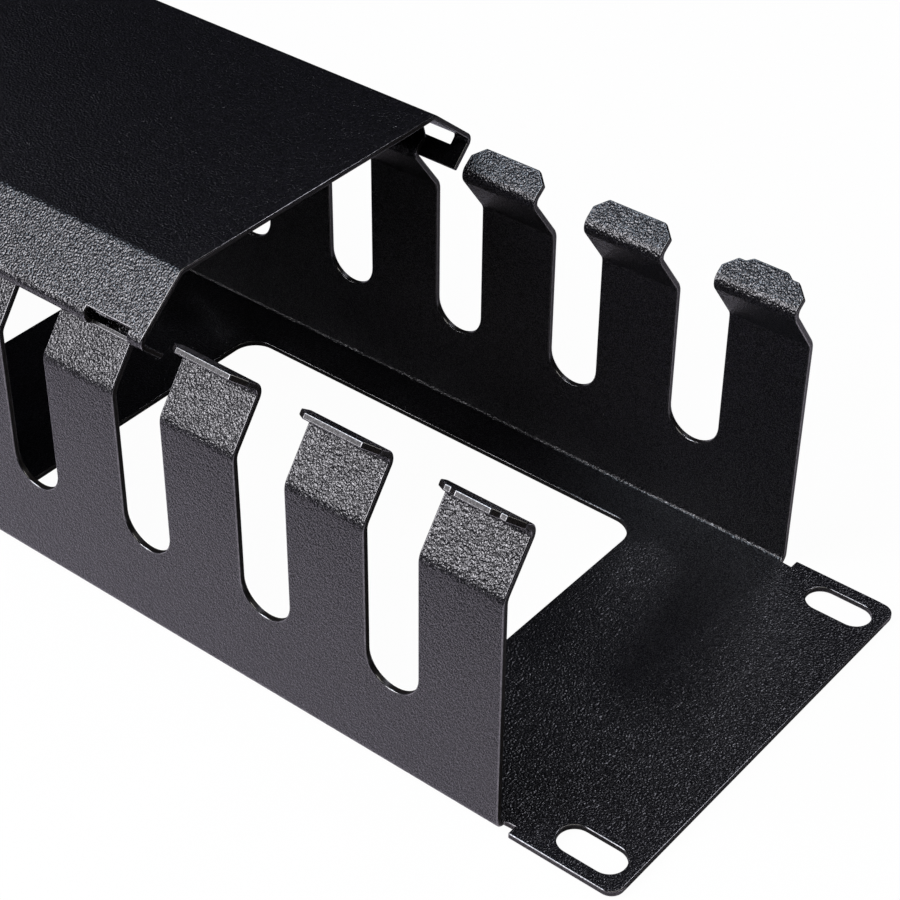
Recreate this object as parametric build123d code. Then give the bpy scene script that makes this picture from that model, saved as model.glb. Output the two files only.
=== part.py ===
from build123d import *
import os
from math import cos, radians, sin

# Rack-mount horizontal cable manager, two rack units high, in millimetres.
# X runs along the 19 inch width, Y across the panel, Z out of the rack's front.
# The origin is the centre of the panel's back face, which lies against the rack rails.

# Rack panel
panel_length = 482.6
panel_width = 88.1
sheet = 1.2
panel_corner_radius = 2.5

# Mounting slots near the panel's corners, placed by their centres
slot_from_end = 8.75
slot_from_edge = 5.95
slot_length = 13.0
slot_width = 6.4

# Comb walls: upright fingers, folded up along both long edges of the panel
least_ear_length = 23.0
finger_pitch = 27.9
finger_width = 16.8
gap_floor = 18.4
wall_bend_radius = 0.8

# Finger profile: upright, leaning inwards, then a lip folded back outwards
lean_height = 50.1
lean_angle = 36.0
lean_length = 11.8
lean_bend_radius = 2.5
lip_angle = 37.5
lip_length = 5.7
lip_corner = 2.3
neck_bend_radius = 1.2

# The four end fingers have shorter lips, each with a locating tab
end_lip_length = 5.0
tab_rise = 0.9
tab_tip_width = 7.0
tab_root_width = 9.4

# Notches that free the folds at the ends of the walls
relief_width = 2.2
relief_depth = 1.5

# Windows in the panel, between the walls
window_width = 66.6
window_corner_radius = 5.0
middle_window_length = 107.0
outer_window_length = 99.2
window_from_comb_end = 26.55

# Cover: flat top, sloping flanks and hems that hook under the lips
cover_sheet = 1.0
flank_clearance = 0.15
flank_angle = 40.0
flank_length = 14.8
top_bend_radius = 0.8
hem_angle = 45.0
hem_clearance = 1.0
hem_end_clearance = 0.4
hook_bend_radius = 0.8

# Latch slots through the cover's lower bends, over the end fingers' tabs
latch_length = 10.0
latch_rise = 2.4
latch_drop = 2.1

# How far the cover is drawn back from its closed place, along X
cover_shift = 76.0

# Margin by which a cutting tool passes the sheet it cuts
overshoot = 0.4

# Sizes and places that follow: the comb has as many fingers as fit between the panel's ears
finger_room = panel_length - 2 * least_ear_length
finger_count = int((finger_room - finger_width) / finger_pitch) + 1
comb_length = (finger_count - 1) * finger_pitch + finger_width
comb_end = comb_length / 2
end_finger_x = comb_end - finger_width / 2
gap_width = finger_pitch - finger_width
wall_face = panel_width / 2
tab_length = end_lip_length + tab_rise
longest_lip = max(lip_length, tab_length)


# A direction in the plane across the part, at an angle above +Y
def across(angle):
    return Vector(0, cos(radians(angle)), sin(radians(angle)))


# The fold line at the neck, on the finger's outer face, and the longest lip's two edges
lean_top = Vector(0, wall_face, lean_height)
neck = lean_top + across(90 + lean_angle) * lean_length
lip_way = across(lip_angle)
lip_up = across(90 + lip_angle)
lip_tip_low = neck + lip_way * longest_lip
lip_tip_high = lip_tip_low + lip_up * sheet

# The cover's flank and hem, each as a way to run and a way to face
flank_way = across(-flank_angle)
flank_out = across(90 - flank_angle)
hem_way = across(-90 - hem_angle)
hem_out = across(-hem_angle)


# Section of a folded sheet: the outer face's line with its bends, offset to the inside
def folded_section(outline, radii, thickness, inside):
    right = [(point.Y, point.Z) for point in outline]
    left = [(-y, z) for y, z in reversed(right)]
    face_line = FilletPolyline(*left, *right, radius=radii[::-1] + radii)
    closed_line = face_line.wire().offset_2d(thickness, kind=Kind.ARC, side=inside)
    return Plane.YZ * make_face(closed_line)


# The outline of one lip, seen square on, from the height where trimming begins
def lip_outline(length, trim_start):
    half = finger_width / 2
    shoulder = half - lip_corner
    root = length - lip_corner
    right = [(half, trim_start), (half, root), (shoulder, length)]
    left = [(-x, y) for x, y in reversed(right)]
    return make_face(Polyline(*right, *left, close=True))


# The locating tab in the middle of an end finger's lip
def tab_outline():
    root = tab_root_width / 2
    tip = tab_tip_width / 2
    points = [(-root, end_lip_length), (-tip, tab_length), (tip, tab_length), (root, end_lip_length)]
    return make_face(Polyline(*points, close=True))


# What is trimmed off one wall's lips, past their shoulders and corners
def lip_waste(finger_places):
    trim_start = min(lip_length, end_lip_length) - lip_corner - overshoot
    trim_height = longest_lip + overshoot - trim_start
    band = Pos(0, trim_start + trim_height / 2) * Rectangle(comb_length + 2, trim_height)
    plain_lip = lip_outline(lip_length, trim_start)
    end_lip = lip_outline(end_lip_length, trim_start) + tab_outline()
    for place in finger_places[1:-1]:
        band -= Pos(place, 0) * plain_lip
    for place in (finger_places[0], finger_places[-1]):
        band -= Pos(place, 0) * end_lip
    lip_plane = Plane(origin=neck, x_dir=(1, 0, 0), z_dir=lip_up)
    slab = extrude(band, sheet + 2 * overshoot)
    return lip_plane * Pos(0, 0, -overshoot) * slab


# The gap between two fingers, as a tool that passes both walls
def gap_tool():
    top = lip_tip_high.Z + overshoot
    floor_radius = gap_width / 2
    straight = top - gap_floor - floor_radius
    shape = Pos(0, top - straight / 2) * Rectangle(gap_width, straight)
    shape += Pos(0, gap_floor + floor_radius) * Circle(floor_radius)
    return extrude(Plane.XZ * shape, wall_face + 1, both=True)


# The flat ends of the panel, which carry the mounting slots
def panel_ends():
    plate = RectangleRounded(panel_length, panel_width, panel_corner_radius)
    plate -= Rectangle(comb_length, panel_width + 2)
    notch_x = comb_length + relief_width
    notch_y = panel_width - relief_depth
    for notch in GridLocations(notch_x, notch_y, 2, 2):
        plate -= notch * Rectangle(relief_width, relief_depth + 2 * overshoot)
    slot_spacing_x = panel_length - 2 * slot_from_end
    slot_spacing_y = panel_width - 2 * slot_from_edge
    for place in GridLocations(slot_spacing_x, slot_spacing_y, 2, 2):
        plate -= place * SlotOverall(slot_length, slot_width)
    return extrude(plate, sheet)


# The three windows in the panel, as one tool
def window_tool():
    outer_x = comb_end - window_from_comb_end - outer_window_length / 2
    shape = RectangleRounded(middle_window_length, window_width, window_corner_radius)
    outer = RectangleRounded(outer_window_length, window_width, window_corner_radius)
    for place in GridLocations(2 * outer_x, 0, 2, 1):
        shape += place * outer
    return Pos(0, 0, -overshoot) * extrude(shape, sheet + 2 * overshoot)


# Panel and comb walls, folded from one sheet
def make_duct_body():
    outline = [Vector(0, wall_face, 0), lean_top, neck, lip_tip_low]
    radii = [wall_bend_radius + sheet, lean_bend_radius + sheet, neck_bend_radius]
    section = folded_section(outline, radii, sheet, Side.LEFT)
    body = extrude(section, comb_length / 2, both=True)
    body += panel_ends()
    first = -comb_end + finger_width / 2
    finger_places = [first + index * finger_pitch for index in range(finger_count)]
    gap = gap_tool()
    gaps = [Pos(place + finger_pitch / 2, 0, 0) * gap for place in finger_places[:-1]]
    waste = lip_waste(finger_places)
    cuts = gaps + [waste, mirror(waste, Plane.XZ), window_tool()]
    return body - cuts


# The corner where flank and hem meet on the cover's outside, clear of the longest lip
def hook_corner():
    flank_place = lip_tip_high.dot(flank_out) + flank_clearance + cover_sheet
    hem_place = lip_tip_low.dot(hem_out) + hem_clearance + cover_sheet
    turn = flank_out.Y * hem_out.Z - flank_out.Z * hem_out.Y
    y = (flank_place * hem_out.Z - hem_place * flank_out.Z) / turn
    z = (hem_place * flank_out.Y - flank_place * hem_out.Y) / turn
    return Vector(0, y, z)


# The corner on the cover's inner face, behind an outer corner
def inner_corner(corner):
    inwards = (flank_out + hem_out) * (-cover_sheet / (1 + flank_out.dot(hem_out)))
    return corner + inwards


# How far the hem runs on its inner face before it meets the leaning finger
def hem_run(corner):
    lean_out = across(lean_angle)
    space = (inner_corner(corner) - neck).dot(lean_out) - hem_end_clearance
    return space / -hem_way.dot(lean_out)


# Latch slot: it goes through the flank's foot, round the bend and into the hem
def latch_tool(corner):
    inner = inner_corner(corner)
    hem_extra = (inner - corner).dot(hem_way)
    flank_edge = corner - flank_way * latch_rise
    hem_edge = corner + hem_way * (hem_extra + latch_drop)
    reach = cover_sheet + overshoot
    points = [flank_edge + flank_out, corner + flank_out + hem_out, hem_edge + hem_out]
    points += [hem_edge - hem_out * reach, flank_edge - flank_out * reach]
    shape = Plane.YZ * make_face(Polyline(*[(p.Y, p.Z) for p in points], close=True))
    return extrude(shape, latch_length / 2, both=True)


# Cover, folded from one sheet, with four latch slots
def make_cover():
    corner = hook_corner()
    hem_length = hem_run(corner) + (inner_corner(corner) - corner).dot(hem_way)
    outline = [corner - flank_way * flank_length, corner, corner + hem_way * hem_length]
    radii = [top_bend_radius + cover_sheet, hook_bend_radius + cover_sheet]
    section = folded_section(outline, radii, cover_sheet, Side.RIGHT)
    cover = extrude(section, comb_length / 2, both=True)
    slot = latch_tool(corner)
    for x in (-end_finger_x, end_finger_x):
        place = Pos(x, 0, 0)
        cover -= [place * slot, place * mirror(slot, Plane.XZ)]
    return Pos(-cover_shift, 0, 0) * cover


parts = {
    "duct_body": make_duct_body(),
    "cable_cover": make_cover(),
}

os.makedirs("parts", exist_ok=True)
for name, part in parts.items():
    export_step(part, f"parts/{name}.step")
    print(name, part.bounding_box(), round(part.volume), len(part.solids()))
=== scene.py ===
import math

import bmesh
import bpy
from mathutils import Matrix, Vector


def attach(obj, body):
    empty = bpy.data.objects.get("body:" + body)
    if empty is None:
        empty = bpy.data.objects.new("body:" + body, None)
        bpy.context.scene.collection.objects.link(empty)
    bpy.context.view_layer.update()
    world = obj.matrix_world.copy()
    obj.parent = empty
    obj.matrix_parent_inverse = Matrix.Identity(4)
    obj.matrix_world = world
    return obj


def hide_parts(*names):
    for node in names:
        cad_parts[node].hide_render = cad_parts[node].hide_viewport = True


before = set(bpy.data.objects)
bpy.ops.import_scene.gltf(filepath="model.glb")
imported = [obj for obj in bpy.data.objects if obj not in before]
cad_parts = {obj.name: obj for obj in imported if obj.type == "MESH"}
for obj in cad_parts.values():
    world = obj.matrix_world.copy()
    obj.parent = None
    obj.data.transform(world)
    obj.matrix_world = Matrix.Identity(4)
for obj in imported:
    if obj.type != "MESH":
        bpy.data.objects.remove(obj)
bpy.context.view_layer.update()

print("frame loaded, nodes:", sorted(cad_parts))

# Sockets of Blender's Mix node when it mixes colours, which share their names with others
mixFirst, mixSecond, mixResult = 6, 7, 2


def addNode(tree, kind, inputs=None, **settings):
    node = tree.nodes.new(kind)
    for key, value in settings.items():
        setattr(node, key, value)
    for key, value in (inputs or {}).items():
        node.inputs[key].default_value = value
    return node


# The camera stands where the photograph's stood, in metres, degrees and, for the lens, mm
viewpoint = {
    "place": (0.37325, -0.25300, 0.28183),
    "turn": (52.109, -0.477, 38.882),
    "lens": 92.37,
    "sensorWidth": 36.0,
    "nearest": 0.01,
}


def makeCamera(look):
    data = bpy.data.cameras.new("photoCamera")
    data.sensor_width = look["sensorWidth"]
    data.lens = look["lens"]
    data.clip_start = look["nearest"]
    camera = bpy.data.objects.new("photoCamera", data)
    bpy.context.scene.collection.objects.link(camera)
    camera.location = look["place"]
    camera.rotation_euler = [math.radians(angle) for angle in look["turn"]]
    bpy.context.scene.camera = camera
    print("camera made")


# Black powder coat on the flat faces: near black, satin, with a fine pebbled skin.
# A scale is in lattice points per metre, so a pebble is about 0.4 mm. Depths are in metres.
powderCoat = {
    "name": "blackPowderCoat",
    # painted shade in the pebbles' hollows and painted light on their tops, over the coat's near black
    "shadedHollowTone": (0.0012, 0.0012, 0.0018, 1),
    "litTopTone": (0.0050, 0.0047, 0.0070, 1),
    "roughnessLow": 0.28,
    "roughnessHigh": 0.30,
    "specularLow": 0.08,
    "specularHigh": 1.0,
    # for an export that can't follow the glints
    "specularMean": 0.35,       # the glints' mean, kept on the socket under their link
    "glintRange": (0.40, 0.78),  # the grain's values that are fully dull and fully bright
    "ior": 1.70,                # with the glints, the mean reflection is a coat's usual 4 %
    "pebbleScale": 2600,
    "grainScale": 5200,         # finer still, for the glints
    "peelScale": 700,           # the slower waves of the sprayed skin
    "pebbleDepth": 0.00015,
    "peelDepth": 0.00003,
}

# The same coat on the cut faces, where it is smooth and satin
cutCoat = {
    "name": "blackCutCoat",
    # warmer and paler than the faces: painted warm bounce light, with painted shade in the hollows
    "shadedHollowTone": (0.0057, 0.0048, 0.0046, 1),
    "litTopTone": (0.0110, 0.0095, 0.0090, 1),
    "roughnessLow": 0.28,
    "roughnessHigh": 0.34,
    "specularLow": 0.24,
    "specularHigh": 0.42,
    "specularMean": 0.31,
    "glintRange": (0.42, 0.66),
    "ior": 1.5,
    "pebbleScale": 1800,
    "grainScale": 3600,
    "peelScale": 600,
    "pebbleDepth": 0.000012,
    "peelDepth": 0.00001,
}

# And on the rounded edges, where it is glossier
edgeCoat = {
    "name": "blackEdgeCoat",
    # the same painted shade in the hollows and painted light on the tops as on the faces
    "shadedHollowTone": (0.0044, 0.0042, 0.0048, 1),
    "litTopTone": (0.0088, 0.0084, 0.0097, 1),
    "roughnessLow": 0.14,
    "roughnessHigh": 0.20,
    "specularLow": 0.6,
    "specularHigh": 1.0,
    "specularMean": 0.75,
    "glintRange": (0.42, 0.66),
    "ior": 1.85,                # a little brighter than the faces, as edges are
    "pebbleScale": 1800,
    "grainScale": 3600,
    "peelScale": 600,
    "pebbleDepth": 0.000012,
    "peelDepth": 0.00001,
}

pebbleHollow, pebbleTop = 0.35, 0.68    # the noise's values at the bottom and the top of a pebble


def makePowderCoat(look):
    material = bpy.data.materials.new(look["name"])
    material.use_nodes = True
    tree = material.node_tree
    tree.nodes.clear()
    link = tree.links.new
    out = addNode(tree, "ShaderNodeOutputMaterial")
    shader = addNode(tree, "ShaderNodeBsdfPrincipled",
                     {"IOR": look["ior"], "Specular IOR Level": look["specularMean"]})
    link(shader.outputs["BSDF"], out.inputs["Surface"])

    # three noises on the object's own coordinates, the pebbles' relief over the skin's waves
    where = addNode(tree, "ShaderNodeTexCoord")
    pebble = addNode(tree, "ShaderNodeTexNoise", {"Scale": look["pebbleScale"], "Detail": 0.0})
    peel = addNode(tree, "ShaderNodeTexNoise", {"Scale": look["peelScale"], "Detail": 0.0})
    grain = addNode(tree, "ShaderNodeTexNoise", {"Scale": look["grainScale"], "Detail": 0.0})
    for noise in (pebble, peel, grain):
        link(where.outputs["Object"], noise.inputs["Vector"])
    peelBump = addNode(tree, "ShaderNodeBump", {"Strength": 1.0, "Distance": look["peelDepth"]})
    pebbleBump = addNode(tree, "ShaderNodeBump", {"Strength": 1.0, "Distance": look["pebbleDepth"]})
    link(peel.outputs["Fac"], peelBump.inputs["Height"])
    link(pebble.outputs["Fac"], pebbleBump.inputs["Height"])
    link(peelBump.outputs["Normal"], pebbleBump.inputs["Normal"])
    link(pebbleBump.outputs["Normal"], shader.inputs["Normal"])

    # the pebbles' tops are smoother and painted paler, with painted shade in the hollows
    hollowShadeMask = addNode(tree, "ShaderNodeMapRange", {"From Min": pebbleHollow, "From Max": pebbleTop})
    hollowShadedColours = addNode(tree, "ShaderNodeMix",
                      {mixFirst: look["shadedHollowTone"], mixSecond: look["litTopTone"]}, data_type="RGBA")
    rough = addNode(tree, "ShaderNodeMapRange",
                    {"From Min": pebbleHollow, "From Max": pebbleTop,
                     "To Min": look["roughnessHigh"], "To Max": look["roughnessLow"]})
    link(pebble.outputs["Fac"], hollowShadeMask.inputs["Value"])
    link(hollowShadeMask.outputs["Result"], hollowShadedColours.inputs["Factor"])
    link(hollowShadedColours.outputs[mixResult], shader.inputs["Base Color"])
    link(pebble.outputs["Fac"], rough.inputs["Value"])
    link(rough.outputs["Result"], shader.inputs["Roughness"])

    # the finest grain glints on its tops and loses its shine in the hollows
    dull, bright = look["glintRange"]
    shine = addNode(tree, "ShaderNodeMapRange",
                    {"From Min": dull, "From Max": bright,
                     "To Min": look["specularLow"], "To Max": look["specularHigh"]})
    link(grain.outputs["Fac"], shine.inputs["Value"])
    link(shine.outputs["Result"], shader.inputs["Specular IOR Level"])
    return material


# The panel with both comb walls, in metres
foldedDuct = {
    "name": "foldedDuct",
    "node": "duct_body",
    "body": "duct",
    "thickness": 0.0012,
    "edgeRadius": 0.00024,
}

# The cover
foldedCover = {
    "name": "foldedCover",
    "node": "cable_cover",
    "body": "cover",
    "thickness": 0.0010,
    "edgeRadius": 0.00024,
}

# How both sheets are merged and rounded
sheetFinish = {
    "mergeDistance": 8e-5,      # metres
    "flatAngle": 0.6,           # degrees: faces that turn less than this become one
    "sharpAngle": 35,           # degrees: an edge that turns more than this is a cut edge
    "cutFaceShare": 0.6,        # of the sheet's thickness
    "edgeSegments": 3,
}
flatFace, cutFace, roundedEdge = 0, 1, 2    # the coats' places in a sheet's list of materials


# A cut face is a strip between sharp edges: its area over their length is half the thickness
def isCutFace(face, thickness):
    sharpTurn = math.radians(sheetFinish["sharpAngle"])
    sharp = sum(edge.calc_length() for edge in face.edges if edge.calc_face_angle(0) > sharpTurn)
    return sharp > 0 and face.calc_area() / sharp < thickness * sheetFinish["cutFaceShare"]


# A merged copy of a folded sheet: flat faces whole again, cut edges rounded, bends shaded smooth
def makeFoldedSheet(look, coats):
    nodeName = look["node"]
    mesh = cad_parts[nodeName].data.copy()
    mesh.name = look["name"]
    mesh.materials.clear()
    for coat in coats:
        mesh.materials.append(coat)
    shape = bmesh.new()
    shape.from_mesh(mesh)
    bmesh.ops.remove_doubles(shape, verts=shape.verts, dist=sheetFinish["mergeDistance"])
    bmesh.ops.dissolve_limit(shape, angle_limit=math.radians(sheetFinish["flatAngle"]),
                             verts=shape.verts, edges=shape.edges)
    bmesh.ops.recalc_face_normals(shape, faces=shape.faces)
    for face in shape.faces:
        face.smooth = True
        face.material_index = cutFace if isCutFace(face, look["thickness"]) else flatFace
    shape.to_mesh(mesh)
    shape.free()
    if mesh.has_custom_normals:     # the CAD's own, which no longer fit
        mesh.attributes.remove(mesh.attributes["custom_normal"])
    sheet = bpy.data.objects.new(look["name"], mesh)
    bpy.context.scene.collection.objects.link(sheet)
    bevel = sheet.modifiers.new("edges", "BEVEL")
    bevel.width = look["edgeRadius"]
    bevel.segments = sheetFinish["edgeSegments"]
    bevel.limit_method = "ANGLE"
    bevel.angle_limit = math.radians(sheetFinish["sharpAngle"])
    bevel.use_clamp_overlap = False
    bevel.harden_normals = True
    bevel.material = roundedEdge
    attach(sheet, look["body"])
    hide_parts(nodeName)
    print("sheet", look["name"], "faces", len(mesh.polygons))


# How much of a plain white background a ray meets: one share for what the camera sees, directly
# or through glass, and another for what the object's gloss mirrors
def whiteShare(tree, rays, look):
    direct = addNode(tree, "ShaderNodeMath", operation="MAXIMUM")
    seen = addNode(tree, "ShaderNodeMath", {1: look["whiteSeen"]}, operation="MULTIPLY")
    mirrored = addNode(tree, "ShaderNodeMath", {1: look["whiteMirrored"]}, operation="MULTIPLY")
    share = addNode(tree, "ShaderNodeMath", operation="MAXIMUM")
    link = tree.links.new
    link(rays.outputs["Is Camera Ray"], direct.inputs[0])
    link(rays.outputs["Is Transmission Ray"], direct.inputs[1])
    link(direct.outputs[0], seen.inputs[0])
    link(rays.outputs["Is Glossy Ray"], mirrored.inputs[0])
    link(seen.outputs[0], share.inputs[0])
    link(mirrored.outputs[0], share.inputs[1])
    return share.outputs[0]


# The floor is plain and pale. In the object's gloss it is a sheet of pale paper on a dark table,
# with a strip of painted shade along the middle, where the duct shades the floor. Lengths are in
# metres.
paleFloor = {
    "radius": 3.0,
    "rimPoints": 96,
    "place": (0, 0, -0.0004),       # just below the panel's back
    "plainColour": (0.90, 0.90, 0.90, 1),
    "paperColour": (0.95, 0.88, 0.97, 1),
    "tableColour": (0.06, 0.06, 0.065, 1),
    # painted shade: the floor under the duct, darker in the gloss
    "shadeStripColour": (0.22, 0.21, 0.23, 1),
    "paperHalf": (0.50, 0.12),      # half the paper's length and width
    "paperFade": (0.85, 1.25),      # where its edge starts and ends, as shares of those
    "shadeStripHalf": 0.040,             # half the strip's width
    "whiteSeen": 0.97,
    "whiteMirrored": 0.014,
}


def makeFloor(look):
    bpy.ops.mesh.primitive_circle_add(vertices=look["rimPoints"], radius=look["radius"],
                                      fill_type="NGON", location=look["place"])
    floor = bpy.context.object
    floor.name = "floor"
    material = bpy.data.materials.new("paleFloor")
    material.use_nodes = True
    tree = material.node_tree
    tree.nodes.clear()
    link = tree.links.new

    # how far out a point lies along X and Y, and the larger of the two as a share of the paper
    where = addNode(tree, "ShaderNodeTexCoord")
    parts = addNode(tree, "ShaderNodeSeparateXYZ")
    link(where.outputs["Object"], parts.inputs[0])
    sizes = [addNode(tree, "ShaderNodeMath", operation="ABSOLUTE") for half in look["paperHalf"]]
    reach = addNode(tree, "ShaderNodeMath", operation="MAXIMUM")
    for axis, half in enumerate(look["paperHalf"]):
        ratio = addNode(tree, "ShaderNodeMath", {1: half}, operation="DIVIDE")
        link(parts.outputs[axis], sizes[axis].inputs[0])
        link(sizes[axis].outputs[0], ratio.inputs[0])
        link(ratio.outputs[0], reach.inputs[axis])

    # paper, table and the strip of painted shade for the gloss, and the plain colour for all other
    # rays
    fadeStart, fadeEnd = look["paperFade"]
    fade = addNode(tree, "ShaderNodeMapRange", {"From Min": fadeStart, "From Max": fadeEnd})
    ground = addNode(tree, "ShaderNodeMix",
                     {mixFirst: look["paperColour"], mixSecond: look["tableColour"]}, data_type="RGBA")
    shadeStripMask = addNode(tree, "ShaderNodeMath", {1: look["shadeStripHalf"]}, operation="LESS_THAN")
    groundWithShadeStrip = addNode(tree, "ShaderNodeMix", {mixSecond: look["shadeStripColour"]}, data_type="RGBA")
    rays = addNode(tree, "ShaderNodeLightPath")
    colour = addNode(tree, "ShaderNodeMix", {mixFirst: look["plainColour"]}, data_type="RGBA")
    link(reach.outputs[0], fade.inputs["Value"])
    link(fade.outputs["Result"], ground.inputs["Factor"])
    link(sizes[1].outputs[0], shadeStripMask.inputs[0])
    link(shadeStripMask.outputs[0], groundWithShadeStrip.inputs["Factor"])
    link(ground.outputs[mixResult], groundWithShadeStrip.inputs[mixFirst])
    link(rays.outputs["Is Glossy Ray"], colour.inputs["Factor"])
    link(groundWithShadeStrip.outputs[mixResult], colour.inputs[mixSecond])

    # white over the lit floor, which keeps a trace of the object's shadow
    lit = addNode(tree, "ShaderNodeBsdfDiffuse")
    white = addNode(tree, "ShaderNodeEmission", {"Strength": 1.0})
    surface = addNode(tree, "ShaderNodeMixShader")
    out = addNode(tree, "ShaderNodeOutputMaterial")
    link(colour.outputs[mixResult], lit.inputs["Color"])
    link(whiteShare(tree, rays, look), surface.inputs["Fac"])
    link(lit.outputs[0], surface.inputs[1])
    link(white.outputs[0], surface.inputs[2])
    link(surface.outputs[0], out.inputs["Surface"])
    floor.data.materials.append(material)
    print("floor made")


lampTarget = (0.08, 0.0, 0.04)      # what every lamp points at

# Each lamp is a soft box: the way to it from the target, its distance and size in metres, and
# its power in watts
softBoxes = {
    "keyBox": {"towards": (-0.385, -0.745, 0.545), "distance": 1.15, "width": 0.68, "height": 0.92,
               "power": 16.5, "colour": (0.96, 0.94, 1.0)},
    "topBox": {"towards": (-0.36, -0.30, 0.88), "distance": 1.20, "width": 0.42, "height": 0.34,
               "power": 3.6, "colour": (0.72, 0.84, 1.0)},
    "skyBox": {"towards": (0.06, 0.60, 0.80), "distance": 1.20, "width": 0.36, "height": 0.14,
               "power": 1.6, "colour": (0.88, 0.88, 1.0)},
    "sideBox": {"towards": (-0.66, 0.30, 0.69), "distance": 1.20, "width": 0.10, "height": 0.10,
                "power": 0.2, "colour": (0.88, 0.88, 1.0)},
    "fillBox": {"towards": (0.52, -0.12, 0.845), "distance": 1.20, "width": 1.70, "height": 0.45,
                "power": 5.0, "colour": (1.0, 0.96, 0.90)},
}


def makeSoftBox(name, look):
    data = bpy.data.lights.new(name, "AREA")
    data.shape = "RECTANGLE"
    data.size = look["width"]
    data.size_y = look["height"]
    data.energy = look["power"]
    data.color = look["colour"]
    lamp = bpy.data.objects.new(name, data)
    bpy.context.scene.collection.objects.link(lamp)
    towards = Vector(look["towards"]).normalized()
    lamp.location = Vector(lampTarget) + towards * look["distance"]
    lamp.rotation_euler = towards.to_track_quat("Z", "Y").to_euler()


# The room above the floor is dim, and white to the camera
studioRoom = {
    "dimTone": (0.005, 0.0055, 0.007, 1),
    "whiteTone": (1, 1, 1, 1),
    "whiteSeen": 1.0,
    "whiteMirrored": 0.008,
}


def makeRoom(look):
    world = bpy.data.worlds.new("studioRoom")
    world.use_nodes = True
    tree = world.node_tree
    tree.nodes.clear()
    link = tree.links.new
    out = addNode(tree, "ShaderNodeOutputWorld")
    dim = addNode(tree, "ShaderNodeBackground", {"Color": look["dimTone"], "Strength": 1.0})
    white = addNode(tree, "ShaderNodeBackground", {"Color": look["whiteTone"], "Strength": 1.0})
    surface = addNode(tree, "ShaderNodeMixShader")
    rays = addNode(tree, "ShaderNodeLightPath")
    link(whiteShare(tree, rays, look), surface.inputs["Fac"])
    link(dim.outputs[0], surface.inputs[1])
    link(white.outputs[0], surface.inputs[2])
    link(surface.outputs[0], out.inputs["Surface"])
    bpy.context.scene.world = world


makeCamera(viewpoint)
coats = [makePowderCoat(look) for look in (powderCoat, cutCoat, edgeCoat)]
print("coats made")
for look in (foldedDuct, foldedCover):
    makeFoldedSheet(look, coats)
makeFloor(paleFloor)
for name, look in softBoxes.items():
    makeSoftBox(name, look)
makeRoom(studioRoom)
bpy.context.scene.view_settings.view_transform = "Standard"
print("lamps and room made")

bpy.context.view_layer.update()
